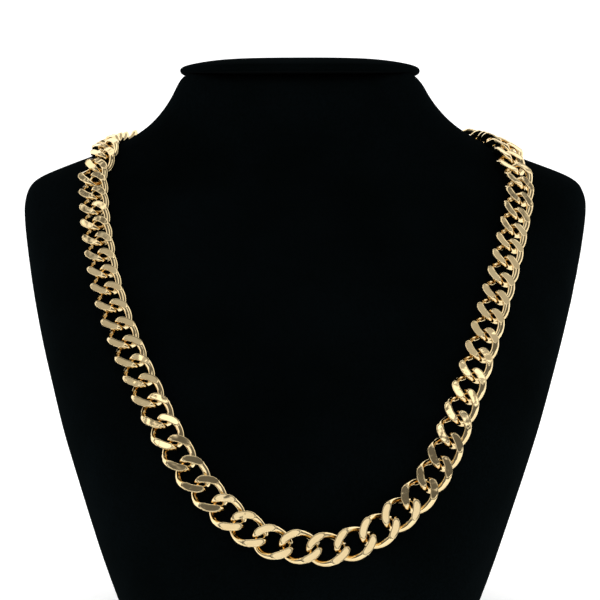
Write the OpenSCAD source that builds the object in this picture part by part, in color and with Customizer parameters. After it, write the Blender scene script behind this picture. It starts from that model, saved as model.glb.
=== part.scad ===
// A curb chain necklace resting on a velvet-covered neck bust.
// Millimetres. X runs to the viewer's right, Y away from the viewer, Z up.
// The origin is on the surface that the bust stands on, below the middle of the whole.

/* [Links] */
// Length of one link over its two ends
link_l = 13.8; // [13.7:0.1:14.2]
// Width of one link
link_w = 11; // [10.6:0.1:11.2]
// Thickness of the link's round wire
wire_d = 2.5; // [2.2:0.1:2.5]
// Angle that each end of a link is twisted to, from the flat of the chain
end_twist = 48; // [46:1:52]
// Thickness of the chain over its two ground faces
ground_t = 3.8; // [3.6:0.1:4.4]
// How square the link's oval is, where 2 is an ellipse
link_squareness = 2.2; // [2:0.1:2.4]

/* [Chain] */
// Number of links, the two eyes of the clasp left out
link_count = 71; // [71:1:73]
// Clear height of the ground face above the velvet
rest_gap = 0.4; // [0.4:0.05:1]

/* [Clasp] */
// Length of the clasp's box
clasp_box_l = 13; // [12:0.5:13]
// Width of the clasp's box
clasp_box_w = 11.6; // [11.4:0.2:12]
// Thickness of the clasp's box
clasp_box_t = 4; // [4:0.1:4.4]

/* [Bust] */
// Roundness of the bust's front, where 2 is an ellipse
front_roundness = 3; // [2.9:0.1:3.1]
// Roundness of the bust's back, where a larger value is flatter
back_roundness = 2.6; // [2.4:0.1:2.8]
// Thickness of the padded cap at its rim
cap_rim_t = 3.2; // [3:0.1:4.5]
// Rise of the cap's padding above its rim
cap_dome = 3.4; // [2:0.1:4]

/* [Hidden] */

// Sections of the bust from its underside up to the top of the neck.
// Columns: height, middle in X, half width, and the depth of the front, of the widest line
// and of the back. The neck leans a little to the left, as the covered form does.
BUST_Z = 0;
BUST_MIDDLE = 1;
BUST_HALF_W = 2;
BUST_FRONT = 3;
BUST_SIDE = 4;
BUST_BACK = 5;
bust_sections = [
    [0, 0.6, 57.2, -84.5, -1, 60.5],
    [20, 0.6, 64.8, -87, 0, 63.5],
    [34, 0.5, 70, -83, 2, 66.5],
    [47, 0.5, 74.8, -77, 4, 69.5],
    [60, 0.4, 79.8, -69.5, 8, 72.5],
    [74, 0.3, 84.4, -59, 13, 75.5],
    [88, 0.2, 89.1, -46.5, 19, 78.5],
    [101, 0.1, 93.1, -33.5, 26, 81.5],
    [115, 0.1, 97, -18, 34, 83.5],
    [129, 0, 100.3, -1.5, 42, 85],
    [137, 0, 101, 8, 46, 85.5],
    [144, -0.3, 97.8, 16, 49, 85.5],
    [149, -0.6, 86.5, 21, 50.5, 85],
    [155, -0.9, 70.6, 24.5, 52, 84],
    [162, -1.2, 57.6, 26.5, 53, 82.5],
    [169, -1.6, 50.4, 27.5, 54, 81.5],
    [176, -1.9, 45.8, 28, 55, 81],
    [182, -2.1, 43.2, 28, 55.5, 80.5]
];
bust_top = bust_sections[len(bust_sections) - 1][BUST_Z];
// Heights at which the bust is drawn, closer together where it curves most. It starts
// below its underside and is cut flat there.
foot_cut = 4;
bust_rings = [
    each [-foot_cut:8:132],
    each [136:4:140],
    each [143:2.5:158],
    162, 166, 171, 176, bust_top
];
bust_sides = 40;
bust_widest = max([for (row = bust_sections) row[BUST_HALF_W]]);

// Route of the chain over the bust, from the middle of the nape down the left side,
// across the front and up the right side to the nape again.
// Columns: angle round the bust (90 back, 180 left, 270 front), height on the bust,
// roll of the links about the chain, and how close the links sit (1 is pulled straight).
ROUTE_ANGLE = 0;
ROUTE_Z = 1;
ROUTE_ROLL = 2;
ROUTE_CLOSE = 3;
route = [
    [90, 158, 0, 1],
    [135, 157.5, 0, 0.97],
    [172, 156.5, 0, 0.94],
    [192, 155, 0, 0.92],
    [208, 153.2, 0, 0.9],
    [222, 149.5, 1, 0.89],
    [230, 144.5, 3, 0.88],
    [233.5, 137, 7, 0.89],
    [235, 124.5, 5, 0.9],
    [237.3, 107.5, -4, 0.96],
    [241.6, 90.5, -5, 0.98],
    [247.4, 72.5, -7, 0.99],
    [254.6, 54, -8, 0.97],
    [264, 39, -5, 0.95],
    [272.5, 32, -2, 0.95],
    [283, 38, -4, 0.97],
    [293, 51.5, -11, 0.96],
    [298.5, 72, -16, 0.97],
    [302.5, 94.5, -16, 0.98],
    [305.5, 113.5, -9, 0.98],
    [307.5, 128.5, 2, 0.91],
    [309.5, 139.5, 7, 0.89],
    [313, 145.5, 5, 0.89],
    [321, 149.5, 1, 0.91],
    [332.5, 152, 0, 0.93],
    [348, 155, 0, 0.95],
    [368, 156.5, 0, 0.97],
    [405, 157.5, 0, 0.98],
    [450, 158, 0, 0.99]
];
route_steps = 12;

left_links = floor(link_count / 2);

// The link's mesh: sections round the oval and sides of its wire.
link_segments = 14;
wire_sides = 6;
half_l = (link_l - wire_d) / 2;
half_w = (link_w - wire_d) / 2;
ground_z = ground_t / 2;
// Share of the half width at which the ground faces end, so that a leaning link clears the velvet.
ground_reach = 0.75;

// Where the clasp's eyes and the links next to it sit along the chain, from the nape.
eye_centre = 5.3;
eye_play = 0.2;
clasp_reach = eye_centre + link_l - 2 * wire_d - eye_play;
clasp_corner = 1.8;
// How far the clasp's box stands out from the middle of the chain.
clasp_rise = 0.5;

// The cap's rings, as height above the neck and growth beyond the neck's outline.
// The last rows draw in towards the middle of the padding.
cap_gap = 0.1;
cap_rings = [
    [cap_gap, -1],
    [cap_gap + 0.25 * cap_rim_t, 0.3],
    [cap_gap + 0.6 * cap_rim_t, 0.5],
    [cap_gap + 0.85 * cap_rim_t, -0.4],
    [cap_rim_t + 0.2 * cap_dome, -4],
    [cap_rim_t + 0.55 * cap_dome, -10.5],
    [cap_rim_t + 0.85 * cap_dome, -19]
];
cap_sides = 40;

// Signed power, which turns a circle into a squarer or flatter round outline.
function signed_power(v, p) = sign(v) * pow(abs(v), p);

// Smooth curve through four values at equal steps.
function spline(p0, p1, p2, p3, t) =
    0.5 * (2 * p1 + (p2 - p0) * t + (2 * p0 - 5 * p1 + 4 * p2 - p3) * t * t
    + (3 * p1 - p0 - 3 * p2 + p3) * t * t * t);

// Slope of one column of the bust's table at a row.
function section_slope(i, column) =
    let(a = max(i - 1, 0), b = min(i + 1, len(bust_sections) - 1))
    (bust_sections[b][column] - bust_sections[a][column])
    / (bust_sections[b][BUST_Z] - bust_sections[a][BUST_Z]);

// Row of the bust's table just below a height.
function section_row(z, i = 0) =
    i >= len(bust_sections) - 2 || bust_sections[i + 1][BUST_Z] > z ? i : section_row(z, i + 1);

// One column of the bust's table at any height, as a smooth curve through the rows.
function section_value(z, column) =
    let(
        i = section_row(z),
        rise = bust_sections[i + 1][BUST_Z] - bust_sections[i][BUST_Z],
        t = (z - bust_sections[i][BUST_Z]) / rise,
        v0 = bust_sections[i][column],
        v1 = bust_sections[i + 1][column],
        m0 = section_slope(i, column) * rise,
        m1 = section_slope(i + 1, column) * rise
    )
    (2 * t * t * t - 3 * t * t + 1) * v0 + (t * t * t - 2 * t * t + t) * m0
    + (3 * t * t - 2 * t * t * t) * v1 + (t * t * t - t * t) * m1;

// Point on the bust at a height and an angle round it, grown outwards by a margin.
function bust_point(z, angle, grow = 0) =
    let(
        middle = section_value(z, BUST_MIDDLE),
        half = section_value(z, BUST_HALF_W) + grow,
        side = section_value(z, BUST_SIDE),
        to_front = side - section_value(z, BUST_FRONT) + grow,
        to_back = section_value(z, BUST_BACK) - side + grow,
        n = sin(angle) < 0 ? front_roundness : back_roundness,
        reach = sin(angle) < 0 ? to_front : to_back
    )
    [
        middle + half * signed_power(cos(angle), 2 / n),
        side + reach * signed_power(sin(angle), 2 / n),
        z
    ];

function unit(v) = v / norm(v);

// Direction straight out of the bust's surface, from small steps round it and up it.
function bust_normal(z, angle, step = 0.5) =
    let(
        around = bust_point(z, angle + step) - bust_point(z, angle - step),
        up = bust_point(min(z + step, bust_top), angle) - bust_point(z - step, angle)
    )
    unit(cross(around, up));

// Row of the route's table at any place along it, where 0 is its first row.
function route_row(u) =
    let(
        last = len(route) - 1,
        i = min(floor(u), last - 1),
        t = u - i,
        before = route[max(i - 1, 0)],
        after = route[min(i + 2, last)]
    )
    spline(before, route[i], route[i + 1], after, t);

// Height of the chain's centre line above the velvet, more where the links lean.
function route_lift(roll) = rest_gap + ground_z + ground_reach * half_w * sin(abs(roll));

function route_point(u) =
    let(r = route_row(u))
    bust_point(r[ROUTE_Z], r[ROUTE_ANGLE])
    + route_lift(r[ROUTE_ROLL]) * bust_normal(r[ROUTE_Z], r[ROUTE_ANGLE]);

// The route as short straight runs, and the taut length of chain used up at each.
route_u = [for (i = [0:(len(route) - 1) * route_steps]) i / route_steps];
route_points = [for (u = route_u) route_point(u)];
route_used = [
    for (
        i = 0, used = 0;
        i < len(route_u);
        i = i + 1,
        used = used + (i < len(route_u)
            ? norm(route_points[i] - route_points[i - 1]) / route_row(route_u[i])[ROUTE_CLOSE]
            : 0)
    ) used
];
taut_length = route_used[len(route_used) - 1];
place_of = [for (i = [0:len(route_u) - 1]) [route_used[i], route_u[i]]];
link_pitch = (taut_length - 2 * clasp_reach) / (link_count - 1);

// Point of the chain's centre line after a given length of chain.
function chain_point(used) = route_point(lookup(used, place_of));

// Directions along, across and out of the chain at a given length of chain.
function chain_axes(used) =
    let(
        r = route_row(lookup(used, place_of)),
        along = unit(chain_point(used + link_pitch / 2) - chain_point(used - link_pitch / 2)),
        out = bust_normal(r[ROUTE_Z], r[ROUTE_ANGLE]),
        across = unit(cross(out, along)),
        face = cross(along, across)
    )
    [
        along,
        across * cos(r[ROUTE_ROLL]) + face * sin(r[ROUTE_ROLL]),
        face * cos(r[ROUTE_ROLL]) - across * sin(r[ROUTE_ROLL])
    ];

// Middle line of a link's wire: an oval twisted about its length.
function wire_middle(a) =
    let(
        x = half_l * signed_power(cos(a), 2 / link_squareness),
        r = half_w * signed_power(sin(a), 2 / link_squareness),
        turn = -end_twist * x / half_l
    )
    [x, r * cos(turn), r * sin(turn)];

// One ring of points round the wire, cut back to the two ground faces.
function wire_ring(a) =
    let(
        middle = wire_middle(a),
        along = unit(wire_middle(a + 1) - wire_middle(a - 1)),
        outward = unit(middle - along * (middle * along)),
        side = cross(along, outward)
    )
    [
        for (k = [0:wire_sides - 1])
            let(
                w = 360 * (k + 0.5) / wire_sides,
                p = middle + wire_d / 2 * (outward * cos(w) + side * sin(w))
            )
            [p[0], p[1], max(-ground_z, min(ground_z, p[2]))]
    ];

link_mesh = [for (i = [0:link_segments - 1]) each wire_ring(360 * (i + 0.5) / link_segments)];

// Faces of a closed ring of rings, as triangles.
function ring_faces(rings, sides, first) = [
    for (i = [0:rings - 1], k = [0:sides - 1])
        let(
            a = first + i * sides + k,
            b = first + i * sides + (k + 1) % sides,
            c = first + (i + 1) % rings * sides + k,
            d = first + (i + 1) % rings * sides + (k + 1) % sides
        )
        each [[a, c, b], [b, c, d]]
];

// Places a list of points with the given axes at a point.
function placed(points, axes, at) =
    [for (p = points) at + p[0] * axes[0] + p[1] * axes[1] + p[2] * axes[2]];

function link_used(i) = clasp_reach + i * link_pitch;

// A run of loose links, from one number up to another.
module links(from, to) {
    points = [
        for (i = [from:to])
            each placed(link_mesh, chain_axes(link_used(i)), chain_point(link_used(i)))
    ];
    faces = [for (i = [0:to - from]) each ring_faces(link_segments, wire_sides, i * len(link_mesh))];
    polyhedron(points, faces);
}

// Closed solid through rings of equal length, with flat ends.
module stacked(rings, top_point) {
    sides = len(rings[0]);
    count = len(rings);
    points = [each [for (ring = rings) each ring], top_point];
    walls = [
        for (i = [0:count - 2], k = [0:sides - 1])
            let(
                a = i * sides + k,
                b = i * sides + (k + 1) % sides,
                c = a + sides,
                d = b + sides
            )
            each [[a, c, b], [b, c, d]]
    ];
    base = [[for (k = [0:sides - 1]) k]];
    last = (count - 1) * sides;
    lid = [for (k = [0:sides - 1]) [last + (k + 1) % sides, last + k, count * sides]];
    polyhedron(points, [each walls, each base, each lid]);
}

function bust_middle(z) = [section_value(z, BUST_MIDDLE), section_value(z, BUST_SIDE), z];

function bust_outline(z, sides, grow = 0) =
    [for (k = [0:sides - 1]) bust_point(z, 360 * k / sides, grow)];

// The bust, with its underside cut flat to stand on.
module neck_bust() {
    color("#0a0c0d")
    difference() {
        stacked(
            [for (z = bust_rings) bust_outline(z, bust_sides)],
            bust_middle(bust_top)
        );
        translate([-bust_widest, -bust_widest, -2 * foot_cut])
            cube([2 * bust_widest, 2 * bust_widest, 2 * foot_cut]);
    }
}

// The padded disc that covers the top of the neck.
module neck_cap() {
    color("#101214")
    stacked(
        [
            for (row = cap_rings)
                [for (p = bust_outline(bust_top, cap_sides, row[1])) [p[0], p[1], bust_top + row[0]]]
        ],
        bust_middle(bust_top) + [0, 0, cap_rim_t + cap_dome]
    );
}

// The links from the clasp to the lowest one, and those from there back to the clasp.
module chain_left() {
    color("#e0c27c") links(0, left_links - 1);
}

module chain_right() {
    color("#e0c27c") links(left_links, link_count - 1);
}

// The clasp: a box between two eyes, each shaped like a link so that it joins the chain.
module clasp() {
    axes = chain_axes(0);
    middle = chain_point(0);
    color("#d8b870")
    multmatrix([
        [axes[0][0], axes[1][0], axes[2][0], middle[0]],
        [axes[0][1], axes[1][1], axes[2][1], middle[1]],
        [axes[0][2], axes[1][2], axes[2][2], middle[2]]
    ]) {
        for (end = [-1, 1])
            translate([end * eye_centre, 0, 0])
                polyhedron(link_mesh, ring_faces(link_segments, wire_sides, 0));
        translate([0, 0, clasp_rise - clasp_box_t / 2])
            linear_extrude(clasp_box_t)
                polygon(cut_corners(clasp_box_l / 2, clasp_box_w / 2, clasp_corner));
    }
}

// Outline of a rectangle with its corners cut off.
function cut_corners(x, y, c) = [
    [x, y - c], [x - c, y], [c - x, y], [-x, y - c],
    [-x, c - y], [c - x, -y], [x - c, -y], [x, c - y]
];

neck_bust();
neck_cap();
chain_left();
chain_right();
clasp();
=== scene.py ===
# %% [markdown]
# # A curb chain on a velvet neck bust
#
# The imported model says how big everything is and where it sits: a bust, a cap on its neck,
# two halves of a chain and a clasp. This lesson dresses that model. It draws one link
# carefully and repeats it, gives the bust its velvet and the links their polished gold
# plate, and then lights the whole like a small product photograph.

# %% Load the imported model
import math

import bmesh
import bpy
import numpy as np
from mathutils import Matrix, Vector


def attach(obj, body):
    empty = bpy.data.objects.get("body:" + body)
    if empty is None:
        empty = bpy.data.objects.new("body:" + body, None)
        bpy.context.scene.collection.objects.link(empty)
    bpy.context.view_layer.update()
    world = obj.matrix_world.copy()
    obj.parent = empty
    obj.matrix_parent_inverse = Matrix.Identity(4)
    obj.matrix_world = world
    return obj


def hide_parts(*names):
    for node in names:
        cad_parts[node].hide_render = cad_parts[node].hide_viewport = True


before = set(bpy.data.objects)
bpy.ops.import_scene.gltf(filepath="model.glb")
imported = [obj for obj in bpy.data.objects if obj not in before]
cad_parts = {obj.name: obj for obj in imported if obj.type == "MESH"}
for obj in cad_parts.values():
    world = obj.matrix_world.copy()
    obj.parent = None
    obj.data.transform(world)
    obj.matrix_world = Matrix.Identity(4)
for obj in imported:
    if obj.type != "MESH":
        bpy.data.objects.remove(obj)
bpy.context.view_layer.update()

print("packed pieces:", sorted(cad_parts))

# %% [markdown]
# Blender works in metres, while a jeweller works in millimetres. One named factor keeps
# the numbers below readable. Two points closer together than a thousandth of a millimetre
# are taken for the same point. Colours are given as the hex codes of a screen, and one
# function turns them into the linear values that Blender reckons with.

# %% Units and colours
MM = 0.001
SAME_POINT = 0.001 * MM


def paint(hex_code):
    """The linear colour that Blender wants, from the sRGB hex code that a screen shows."""
    channels = [int(hex_code[i:i + 2], 16) / 255 for i in (1, 3, 5)]
    linear = [c / 12.92 if c <= 0.04045 else ((c + 0.055) / 1.055) ** 2.4 for c in channels]
    return (*linear, 1.0)


print("mid grey becomes", [round(v, 3) for v in paint("#808080")])

# %% [markdown]
# The camera comes first, because every later choice is judged through it. The photograph
# was taken with a long lens from a little to the right of the middle and a little above
# the chain. A long lens keeps the two sides of the loop nearly the same size.

# %% Place the camera
CAMERA_SWING = math.radians(2)
CAMERA_TILT = math.radians(3)
CAMERA_DISTANCE = 676 * MM
CAMERA_AIM = Vector((-0.18, -1.0, 103)) * MM
LENS_MM = 119.5
SENSOR_MM = 36
NEAREST_SEEN = 10 * MM

look = Vector((
    -math.sin(CAMERA_SWING) * math.cos(CAMERA_TILT),
    math.cos(CAMERA_SWING) * math.cos(CAMERA_TILT),
    -math.sin(CAMERA_TILT),
))
camera_data = bpy.data.cameras.new("camera")
camera_data.lens = LENS_MM
camera_data.sensor_width = SENSOR_MM
camera_data.clip_start = NEAREST_SEEN
camera = bpy.data.objects.new("camera", camera_data)
camera.location = CAMERA_AIM - CAMERA_DISTANCE * look
camera.rotation_euler = look.to_track_quat("-Z", "Y").to_euler()
bpy.context.scene.collection.objects.link(camera)
bpy.context.scene.camera = camera
print("camera at", [round(v, 3) for v in camera.location])

# %% [markdown]
# A link starts as a round wire bent to an oval. Both ends are then twisted the opposite
# way about the link's length, so that the next link can lie flat in it. The middle of the
# wire can be written down: a rounded oval whose points are turned about the X axis, more
# and more towards the two ends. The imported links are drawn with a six-sided wire of 2.5 mm;
# a round wire of 2.36 mm fills the same room.

# %% The middle line of a link's wire
LINK_LENGTH = 13.8 * MM
LINK_WIDTH = 11.0 * MM
SIX_SIDED_WIRE = 2.5 * MM
ROUND_WIRE = 2.36 * MM
END_TWIST = math.radians(48)
SQUARENESS = 2.2
SMALL_STEP = 0.01
HALF_LENGTH = (LINK_LENGTH - SIX_SIDED_WIRE) / 2
HALF_WIDTH = (LINK_WIDTH - SIX_SIDED_WIRE) / 2


def signed_power(value, power):
    """A power that keeps the sign. It makes the oval a little squarer than an ellipse."""
    return math.copysign(abs(value) ** power, value)


def wire_middle(angle):
    """Point on the twisted oval. The angle runs once round the link."""
    along = HALF_LENGTH * signed_power(math.cos(angle), 2 / SQUARENESS)
    across = HALF_WIDTH * signed_power(math.sin(angle), 2 / SQUARENESS)
    turn = -END_TWIST * along / HALF_LENGTH
    return Vector((along, across * math.cos(turn), across * math.sin(turn)))


def wire_station(angle):
    """Matrix that stands a circle square to the wire at that angle."""
    middle = wire_middle(angle)
    forward = (wire_middle(angle + SMALL_STEP) - wire_middle(angle - SMALL_STEP)).normalized()
    outward = (middle - forward * middle.dot(forward)).normalized()
    station = Matrix((outward, forward.cross(outward), forward)).transposed().to_4x4()
    station.translation = middle
    return station


climb = max(wire_middle(math.radians(degree)).z for degree in range(360))
print("the middle of the wire climbs to", round(climb / MM, 2), "mm")

# %% [markdown]
# To draw the wire, a circle is set up at each station on that line, and each pair of
# neighbouring circles is bridged with faces. A circle of 18 points is round enough for a
# wire that is eight pixels wide, and 56 stations keep the bends smooth.

# %% Sweep the wire
WIRE_SIDES = 18
STATIONS = 56


def sweep_wire():
    """One closed round wire, not yet ground."""
    wire = bmesh.new()
    rings = []
    for i in range(STATIONS):
        made = bmesh.ops.create_circle(
            wire, segments=WIRE_SIDES, radius=ROUND_WIRE / 2,
            matrix=wire_station(2 * math.pi * (i + 0.5) / STATIONS),
        )
        ring = set(made["verts"])
        rings.append([e for e in wire.edges if e.verts[0] in ring and e.verts[1] in ring])
    for ring, following in zip(rings, rings[1:] + rings[:1]):
        bmesh.ops.bridge_loops(wire, edges=ring + following)
    bmesh.ops.recalc_face_normals(wire, faces=wire.faces)
    return wire


trial = sweep_wire()
print("wire faces:", len(trial.faces), "open edges:", sum(e.is_boundary for e in trial.edges))
trial.free()

# %% [markdown]
# After twisting, the maker grinds both faces of the chain flat. Here a plane cuts the wire
# off above and below, points closer than 0.03 mm are merged so that no slivers are left, and
# each opening is closed with one flat face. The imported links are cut 3.8 mm thick. These are
# cut at 3.6 mm, because their wire is thinner and the flats should still come out nearly as
# long as the real ones. Polishing then rounds the rims: two narrow rings are set into each
# flat and let down towards the rim, which makes a soft shoulder that draws a bright line
# round the flat.

# %% Grind and polish the two faces
GROUND_THICKNESS = 3.6 * MM
SLIVER = 0.03 * MM
SHOULDER = 0.32 * MM
SHOULDER_DROP = 0.13 * MM
RING_DROPS = (1.0, 0.25)


def grind(link, up, lean):
    """Cuts one face flat with a plane that is tipped by the two angles in lean."""
    bmesh.ops.bisect_plane(
        link, geom=link.verts[:] + link.edges[:] + link.faces[:], dist=SAME_POINT,
        plane_co=(0, 0, up * GROUND_THICKNESS / 2), clear_outer=True,
        plane_no=Vector((math.tan(lean[0]), math.tan(lean[1]), up)).normalized(),
    )


def close_and_polish(link):
    """Closes the cuts with flats, rounds their rims, and returns the number of flats."""
    bmesh.ops.remove_doubles(link, verts=link.verts, dist=SLIVER)
    cuts = [e for e in link.edges if e.is_boundary]
    flats = bmesh.ops.holes_fill(link, edges=cuts, sides=0)["faces"]
    bmesh.ops.recalc_face_normals(link, faces=link.faces)
    for share in RING_DROPS:
        rims = [(v, f.normal.copy()) for f in flats for v in f.verts]
        bmesh.ops.inset_region(link, faces=flats, thickness=SHOULDER / len(RING_DROPS),
                               depth=0, use_even_offset=True)
        for vert, upwards in rims:
            vert.co -= upwards * SHOULDER_DROP * share
        bmesh.ops.smooth_vert(link, verts=[v for v, upwards in rims], factor=0.5,
                              use_axis_x=True, use_axis_y=True, use_axis_z=True)
    for face in link.faces:
        face.smooth = True
    for edge in {e for f in flats for e in f.edges}:
        edge.smooth = False
    return len(flats)


print("the cut takes off", round((climb + ROUND_WIRE / 2 - GROUND_THICKNESS / 2) / MM, 2), "mm")

# %% [markdown]
# Grinding is done by hand, link after link, so no two flats lean quite the same way. Each
# plane is tipped by up to two degrees. Five such links are made here and used in turn later,
# which is enough for a chain that doesn't look copied. The seed makes them the same in
# every run.

# %% Make five links
HAND_LEAN = math.radians(2)
LINK_SHAPES = 5
SEED = 7

rng = np.random.default_rng(SEED)
link_meshes = []
for number in range(LINK_SHAPES):
    link = sweep_wire()
    for up in (1, -1):
        grind(link, up, rng.uniform(-HAND_LEAN, HAND_LEAN, 2))
    flat_count = close_and_polish(link)
    link_mesh = bpy.data.meshes.new("curb_link")
    link.to_mesh(link_mesh)
    link.free()
    link_meshes.append(link_mesh)
    print("link", number, "flats:", flat_count, "faces:", len(link_mesh.polygons))

# %% [markdown]
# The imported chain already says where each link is. Every loose piece of its mesh is one
# link, so the average of its points is the link's middle, and the three main directions
# of its points are the link's length, width and thickness. Such a direction may come out
# either way round, so each is made to point the same way as one slanted line. The points
# still to be visited wait in a dictionary, which keeps its order, while a set would be
# shuffled anew in each run. So the same ground link always comes to the same place.

# %% Read each link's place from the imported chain
def loose_parts(mesh):
    """Point lists of the separate shells in a mesh."""
    shells = bmesh.new()
    shells.from_mesh(mesh)
    bmesh.ops.remove_doubles(shells, verts=shells.verts, dist=SAME_POINT)
    waiting = dict.fromkeys(shells.verts)
    parts = []
    while waiting:
        front = [waiting.popitem()[0]]
        part = []
        while front:
            vert = front.pop()
            part.append(vert.co.copy())
            for edge in vert.link_edges:
                near = edge.other_vert(vert)
                if near in waiting:
                    del waiting[near]
                    front.append(near)
        parts.append(np.array(part))
    shells.free()
    return parts


SLANTED = np.array((0.8, -0.5, 0.3))


def main_directions(points):
    """Matrix from the longest, middle and shortest direction of a cloud of points."""
    directions = np.linalg.eigh(np.cov((points - points.mean(0)).T))[1]
    directions *= np.sign(SLANTED @ directions)
    longest, middle = Vector(directions[:, 2]), Vector(directions[:, 1])
    return Matrix((longest, middle, longest.cross(middle))).transposed()


def link_place(points):
    place = main_directions(points).to_4x4()
    place.translation = Vector(points.mean(0))
    return place


places = {name: [link_place(p) for p in loose_parts(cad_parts[name].data)]
          for name in ("chain_left", "chain_right")}
print("links:", {name: len(found) for name, found in places.items()})

# %% [markdown]
# The materials need nodes. One small helper adds a node, sets its values and makes its
# links, so that each material below reads as a short recipe.

# %% A helper for nodes
def add_node(tree, kind, values=(), links=(), **settings):
    """Adds a node. values fill its sockets, links join them to (node, output) pairs."""
    node = tree.nodes.new(kind)
    for name, value in settings.items():
        setattr(node, name, value)
    for socket, value in dict(values).items():
        node.inputs[socket].default_value = value
    for socket, (source, output) in dict(links).items():
        tree.links.new(source.outputs[output], node.inputs[socket])
    return node


def new_material(name):
    material = bpy.data.materials.new(name)
    material.use_nodes = True
    material.node_tree.nodes.clear()
    return material


print("helpers:", add_node.__name__, new_material.__name__)

# %% [markdown]
# The links are brass with a polished gold plate. A plated and tumbled surface is close to
# a mirror, so nearly all that the eye sees is the studio in it: the colour comes from the
# metal and the shapes from the lights. Three quiet patterns keep it real. A slow change of
# tint, some 5 mm across, stands for uneven plating. Waves of about 3 mm stand for flats
# that were ground by hand, so that one part mirrors a lamp and the next part the dark. A
# fine ripple of about 0.6 mm stands for the marks of polishing.

# %% Polished gold plate
GOLD_LIGHT = paint("#FBE6B6")
GOLD_DEEP = paint("#EFD098")
TINT_SIZE = 5 * MM
WAVE_SIZE, WAVE_HEIGHT = 3 * MM, 0.16 * MM
RIPPLE_SIZE, RIPPLE_HEIGHT = 0.6 * MM, 0.05 * MM
SMOOTHEST, ROUGHEST = 0.04, 0.12

gold = new_material("gold plated brass, polished")
tree = gold.node_tree
where = add_node(tree, "ShaderNodeTexCoord")
tint = add_node(tree, "ShaderNodeTexNoise", {"Scale": 1 / TINT_SIZE, "Detail": 2.0},
                {"Vector": (where, "Object")})
colour = add_node(tree, "ShaderNodeMix", {"A": GOLD_DEEP, "B": GOLD_LIGHT},
                  {"Factor": (tint, "Fac")}, data_type="RGBA")
ripple = add_node(tree, "ShaderNodeTexNoise", {"Scale": 1 / RIPPLE_SIZE, "Detail": 3.0},
                  {"Vector": (where, "Object")})
polish = add_node(tree, "ShaderNodeMapRange", {"To Min": SMOOTHEST, "To Max": ROUGHEST},
                  {"Value": (ripple, "Fac")})
waves = add_node(tree, "ShaderNodeTexNoise", {"Scale": 1 / WAVE_SIZE, "Detail": 1.0},
                 {"Vector": (where, "Object")})
waviness = add_node(tree, "ShaderNodeBump", {"Strength": 1.0, "Distance": WAVE_HEIGHT},
                    {"Height": (waves, "Fac")})
relief = add_node(tree, "ShaderNodeBump", {"Strength": 0.1, "Distance": RIPPLE_HEIGHT},
                  {"Height": (ripple, "Fac"), "Normal": (waviness, "Normal")})
metal = add_node(tree, "ShaderNodeBsdfPrincipled", {"Metallic": 1.0},
                 {"Base Color": (colour, "Result"), "Roughness": (polish, "Result"),
                  "Normal": (relief, "Normal")})
add_node(tree, "ShaderNodeOutputMaterial", links={"Surface": (metal, "BSDF")})
print("material:", gold.name)

# %% [markdown]
# The bust is covered in black cotton velvet. Velvet is a cut pile: the fibres stand up, and
# they swallow light that comes from the front but catch a little at a flat angle. The
# diffuse colour is therefore almost nothing, the plain gloss is turned off, and a very weak
# sheen does the rest. The pile is brushed a little unevenly, in patches some 30 mm across.
# Real fibres are finer than a pixel, so the grain is drawn at 0.7 mm instead.

# %% Black velvet
VELVET_DARK = paint("#040707")
VELVET_BRUSHED = paint("#080D0F")
VELVET_SHEEN = paint("#B9C6CC")
PATCH_SIZE = 30 * MM
PILE_SIZE, PILE_HEIGHT = 0.7 * MM, 0.3 * MM

velvet = new_material("cotton velvet, black")
tree = velvet.node_tree
where = add_node(tree, "ShaderNodeTexCoord")
patches = add_node(tree, "ShaderNodeTexNoise", {"Scale": 1 / PATCH_SIZE, "Detail": 3.0},
                   {"Vector": (where, "Object")})
pile = add_node(tree, "ShaderNodeTexNoise", {"Scale": 1 / PILE_SIZE, "Detail": 4.0},
                {"Vector": (where, "Object")})
both = add_node(tree, "ShaderNodeMath", links={0: (patches, "Fac"), 1: (pile, "Fac")},
                operation="MULTIPLY")
brushed = add_node(tree, "ShaderNodeMapRange", {"From Min": 0.12, "From Max": 0.4},
                   {"Value": (both, "Value")})
colour = add_node(tree, "ShaderNodeMix", {"A": VELVET_DARK, "B": VELVET_BRUSHED},
                  {"Factor": (brushed, "Result")}, data_type="RGBA")
relief = add_node(tree, "ShaderNodeBump", {"Strength": 0.5, "Distance": PILE_HEIGHT},
                  {"Height": (pile, "Fac")})
cloth = add_node(tree, "ShaderNodeBsdfPrincipled",
                 {"Roughness": 0.95, "Specular IOR Level": 0.0, "Sheen Weight": 0.01,
                  "Sheen Roughness": 0.4, "Sheen Tint": VELVET_SHEEN},
                 {"Base Color": (colour, "Result"), "Normal": (relief, "Normal")})
add_node(tree, "ShaderNodeOutputMaterial", links={"Surface": (cloth, "BSDF")})
print("material:", velvet.name)

# %% [markdown]
# Now the links take their places. The five links are copied in turn into a single mesh for
# each half of the chain, each one moved to its place. One mesh for each half keeps the
# scene simple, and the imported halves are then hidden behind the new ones.

# %% Lay the links
def finish_piece(name, shape, material, slot, *stands_for):
    """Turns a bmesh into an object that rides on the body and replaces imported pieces."""
    mesh = bpy.data.meshes.new(name)
    shape.to_mesh(mesh)
    shape.free()
    mesh.materials.append(material)
    piece = bpy.data.objects.new(name, mesh)
    bpy.context.scene.collection.objects.link(piece)
    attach(piece, "root")
    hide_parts(*stands_for)
    return piece


def add_link(shape, place, number):
    before = len(shape.verts)
    shape.from_mesh(link_meshes[number % LINK_SHAPES])
    shape.verts.ensure_lookup_table()
    bmesh.ops.transform(shape, matrix=place, verts=shape.verts[before:])


for name, found in places.items():
    half = bmesh.new()
    for number, place in enumerate(found):
        add_link(half, place, number)
    piece = finish_piece(name.replace("chain", "links"), half, gold, "gold_plate", name)
    print(piece.name, "faces:", len(piece.data.polygons))

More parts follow.
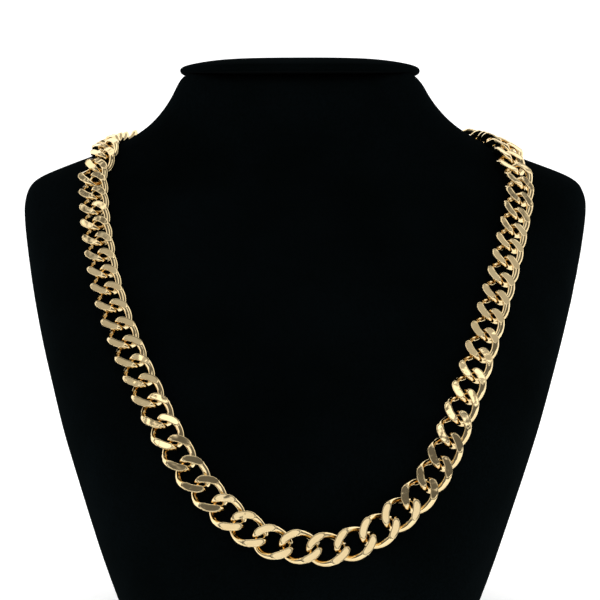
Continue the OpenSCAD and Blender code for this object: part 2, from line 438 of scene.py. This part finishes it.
# %% [markdown]
# The clasp is out of sight at the back of the neck, so it is a plain box clasp: a flat box
# with an eye at each end that takes the chain's last link. Its place comes from the packed
# clasp in the same way as a link's. The box is thicker outwards, so the middle is counted
# from the inner side, and the clasp is turned over if that side doesn't face the neck.

# %% Find the clasp's place
EYE_HALF_THICKNESS = 1.9 * MM
AWAY_FROM_NECK = Vector((0, 1, 0.4))

points = loose_parts(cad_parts["clasp"].data)[0]
turned = main_directions(points)
if turned.col[2].dot(AWAY_FROM_NECK) < 0:
    turned = turned @ Matrix.Rotation(math.pi, 3, "X")
spans = np.array([turned.transposed() @ Vector(p) for p in points])
middle = Vector((spans.min(0) + spans.max(0)) / 2)
middle.z = spans.min(0)[2] + EYE_HALF_THICKNESS
clasp_place = turned.to_4x4()
clasp_place.translation = turned @ middle
print("clasp at", [round(v / MM, 1) for v in clasp_place.translation], "mm")

# %% [markdown]
# The box starts as a cube, gets its four corners rounded and a shallow frame pressed into
# its lid, and then all its edges are softened, as on a stamped and polished box. The eyes
# are links themselves, so two of the five links are pushed into its ends.

# %% The clasp
BOX_LENGTH = 13 * MM
BOX_WIDTH = 11.6 * MM
BOX_THICKNESS = 4 * MM
BOX_CORNER = 1.8 * MM
BOX_RISE = 0.5 * MM
LID_BORDER = 1.2 * MM
LID_STEP = 0.3 * MM
EDGE_ROUND = 0.25 * MM
SHARP_ANGLE = math.radians(35)
EYE_CENTRE = 5.3 * MM

clasp = bmesh.new()
bmesh.ops.create_cube(clasp, size=1)
bmesh.ops.scale(clasp, vec=(BOX_LENGTH, BOX_WIDTH, BOX_THICKNESS), verts=clasp.verts)
uprights = [e for e in clasp.edges if abs(e.verts[0].co.z - e.verts[1].co.z) > BOX_THICKNESS / 2]
bmesh.ops.bevel(clasp, geom=uprights, offset=BOX_CORNER, offset_type="OFFSET", segments=3,
                profile=0.5, affect="EDGES", material=-1)
lid = max(clasp.faces, key=lambda f: f.calc_center_median().z)
bmesh.ops.inset_region(clasp, faces=[lid], thickness=LID_BORDER, depth=0)
bmesh.ops.inset_region(clasp, faces=[lid], thickness=LID_STEP, depth=-LID_STEP)
sharp = [e for e in clasp.edges if e.calc_face_angle(0) > SHARP_ANGLE]
bmesh.ops.bevel(clasp, geom=sharp, offset=EDGE_ROUND, offset_type="OFFSET", segments=2,
                profile=0.5, affect="EDGES", material=-1, clamp_overlap=True)
for face in clasp.faces:
    face.smooth = len(face.verts) <= 4
bmesh.ops.translate(clasp, vec=(0, 0, BOX_RISE), verts=clasp.verts)
for end in (-1, 1):
    add_link(clasp, Matrix.Translation((end * EYE_CENTRE, 0, 0)), end + 1)
bmesh.ops.transform(clasp, matrix=clasp_place, verts=clasp.verts)
piece = finish_piece("box_clasp", clasp, gold, "gold_plate", "clasp")
print(piece.name, "faces:", len(piece.data.polygons))

# %% [markdown]
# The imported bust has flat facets, because it was built from straight pieces. The velvet
# form is a copy of it: its loose triangles are merged and joined back into four-sided
# faces, and two rounds of subdivision make it smooth. A narrow rim set into the underside
# keeps the edge at the foot crisp. Subdivision pulls a surface in a little, so a small push
# outwards brings the pile back to the chain. The cap on the neck is a padded disc, covered
# so tightly that it is made in the same way.

# %% Smooth velvet over the bust
JOIN_ANGLE = math.radians(60)
FLAT_WITHIN = 0.01 * MM
FOOT_RIM = 1.2 * MM
SUBDIVISIONS = 2
BUST_PUSH = 0.15 * MM
CAP_PUSH = 0.2 * MM


def smooth_form(name, node, push):
    """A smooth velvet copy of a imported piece, grown by push except on its underside."""
    form = bmesh.new()
    form.from_mesh(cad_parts[node].data)
    bmesh.ops.remove_doubles(form, verts=form.verts, dist=SAME_POINT)
    bmesh.ops.join_triangles(form, faces=form.faces, angle_face_threshold=JOIN_ANGLE,
                             angle_shape_threshold=JOIN_ANGLE)
    low = min(v.co.z for v in form.verts) + FLAT_WITHIN
    under = [f for f in form.faces if all(v.co.z < low for v in f.verts)]
    bmesh.ops.dissolve_faces(form, faces=under, use_verts=True)
    form.faces.ensure_lookup_table()
    under = [f for f in form.faces if all(v.co.z < low for v in f.verts)]
    bmesh.ops.inset_region(form, faces=under, thickness=FOOT_RIM, depth=0)
    for face in form.faces:
        face.smooth = True
    piece = finish_piece(name, form, velvet, "velvet", node)
    soft = piece.modifiers.new("soft", "SUBSURF")
    soft.levels = soft.render_levels = SUBDIVISIONS
    grow = piece.modifiers.new("grow", "DISPLACE")
    grow.strength = push
    grow.mid_level = 0
    sides = piece.vertex_groups.new(name="sides")
    sides.add([v.index for v in piece.data.vertices if v.co.z > low], 1.0, "REPLACE")
    grow.vertex_group = sides.name
    return piece


bust = smooth_form("velvet_bust", "neck_bust", BUST_PUSH)
cap = smooth_form("velvet_cap", "neck_cap", CAP_PUSH)
print("bust faces before subdivision:", len(bust.data.polygons), "cap:", len(cap.data.polygons))

# %% [markdown]
# The bust stands on a sheet of opal acrylic that is lit from below, as on a light table for
# small products. Its glow thins the shadow at the foot, and lets the floor run into the
# white backdrop without a line. The sheet is very slightly cloudy, in patches of 40 mm.

# %% The floor
FLOOR_REACH = 4
CLOUD_SIZE = 40 * MM
GLOW = 0.55

floor_shape = bmesh.new()
bmesh.ops.create_grid(floor_shape, x_segments=4, y_segments=4, size=FLOOR_REACH)
floor_mesh = bpy.data.meshes.new("floor")
floor_shape.to_mesh(floor_mesh)
floor_shape.free()
acrylic = new_material("opal acrylic sheet, lit from below")
tree = acrylic.node_tree
where = add_node(tree, "ShaderNodeTexCoord")
cloud = add_node(tree, "ShaderNodeTexNoise", {"Scale": 1 / CLOUD_SIZE},
                 {"Vector": (where, "Object")})
colour = add_node(tree, "ShaderNodeMix", {"A": paint("#F4F4F2"), "B": paint("#FAFAF9")},
                  {"Factor": (cloud, "Fac")}, data_type="RGBA")
sheet = add_node(tree, "ShaderNodeBsdfPrincipled",
                 {"Roughness": 0.6, "Emission Color": paint("#FFFFFF"), "Emission Strength": GLOW},
                 {"Base Color": (colour, "Result")})
add_node(tree, "ShaderNodeOutputMaterial", links={"Surface": (sheet, "BSDF")})
floor_mesh.materials.append(acrylic)
floor = bpy.data.objects.new("floor", floor_mesh)
bpy.context.scene.collection.objects.link(floor)
print("the floor is", 2 * FLOOR_REACH, "m wide")

# %% [markdown]
# A polished chain shows its studio, so the studio is built for it, as light that comes from
# all round. The backdrop is a tall white curve that reaches round both sides, and it draws
# the bright lines along the round wire. The ceiling is grey, and the camera's side is nearly
# dark, as a room is behind the photographer: that gives the dark lines. Each border between
# them is a soft step, given by how far up (Z) or how far back (Y) a ray looks.

# %% The room
ROOM_LOW = 0.13
ROOM_HIGH = 0.5
BACKDROP = 1.35
CEILING_EDGE = (0.87, 0.92)
BACKDROP_TOP = (0.83, 0.88)
BACKDROP_SIDES = (-0.45, 0.15)

world = bpy.data.worlds.new("studio")
bpy.context.scene.world = world
world.use_nodes = True
tree = world.node_tree
tree.nodes.clear()
where = add_node(tree, "ShaderNodeTexCoord")
parts = add_node(tree, "ShaderNodeSeparateXYZ", links={"Vector": (where, "Generated")})
ceiling = add_node(tree, "ShaderNodeMapRange",
                   {"From Min": CEILING_EDGE[0], "From Max": CEILING_EDGE[1],
                    "To Min": ROOM_LOW, "To Max": ROOM_HIGH},
                   {"Value": (parts, "Z")}, interpolation_type="SMOOTHSTEP")
behind = add_node(tree, "ShaderNodeMapRange",
                  {"From Min": BACKDROP_SIDES[0], "From Max": BACKDROP_SIDES[1],
                   "To Min": 0.0, "To Max": BACKDROP},
                  {"Value": (parts, "Y")}, interpolation_type="SMOOTHSTEP")
lower = add_node(tree, "ShaderNodeMapRange",
                 {"From Min": BACKDROP_TOP[0], "From Max": BACKDROP_TOP[1],
                  "To Min": 1.0, "To Max": 0.0},
                 {"Value": (parts, "Z")}, interpolation_type="SMOOTHSTEP")
backdrop = add_node(tree, "ShaderNodeMath", links={0: (behind, "Result"), 1: (lower, "Result")},
                    operation="MULTIPLY")
light = add_node(tree, "ShaderNodeMath", links={0: (ceiling, "Result"), 1: (backdrop, "Value")},
                 operation="MAXIMUM")
room = add_node(tree, "ShaderNodeBackground", {"Color": paint("#FFFFFF")},
                {"Strength": (light, "Value")})
add_node(tree, "ShaderNodeOutputWorld", links={"Surface": (room, "Background")})
print("world:", world.name, "with", len(tree.nodes), "nodes")

# %% [markdown]
# Two lamps do the rest. A soft box hangs above the bust, a little to the front, and a wide
# window stands high behind the camera. The lowest links mirror the window in their flats. A
# lamp's energy is worked out from its size, so that its brightness is on the same scale as
# the room's.

# %% The lamps
LAMP_AIM = Vector((0, 0, 0.1))


def soft_box(name, place, size, brightness):
    """A rectangular lamp that shines at the bust."""
    lamp = bpy.data.lights.new(name, "AREA")
    lamp.shape = "RECTANGLE"
    lamp.size, lamp.size_y = size
    lamp.energy = brightness * math.pi * size[0] * size[1]
    box = bpy.data.objects.new(name, lamp)
    box.location = place
    box.rotation_euler = (LAMP_AIM - Vector(place)).to_track_quat("-Z", "Y").to_euler()
    bpy.context.scene.collection.objects.link(box)


soft_box("soft_box_above", place=(-0.06, -0.41, 1.3), size=(0.62, 0.38), brightness=1.05)
soft_box("window_behind_camera", place=(0.07, -1.25, 1.0), size=(1.0, 0.55), brightness=0.82)
bpy.context.scene.view_settings.view_transform = "Standard"
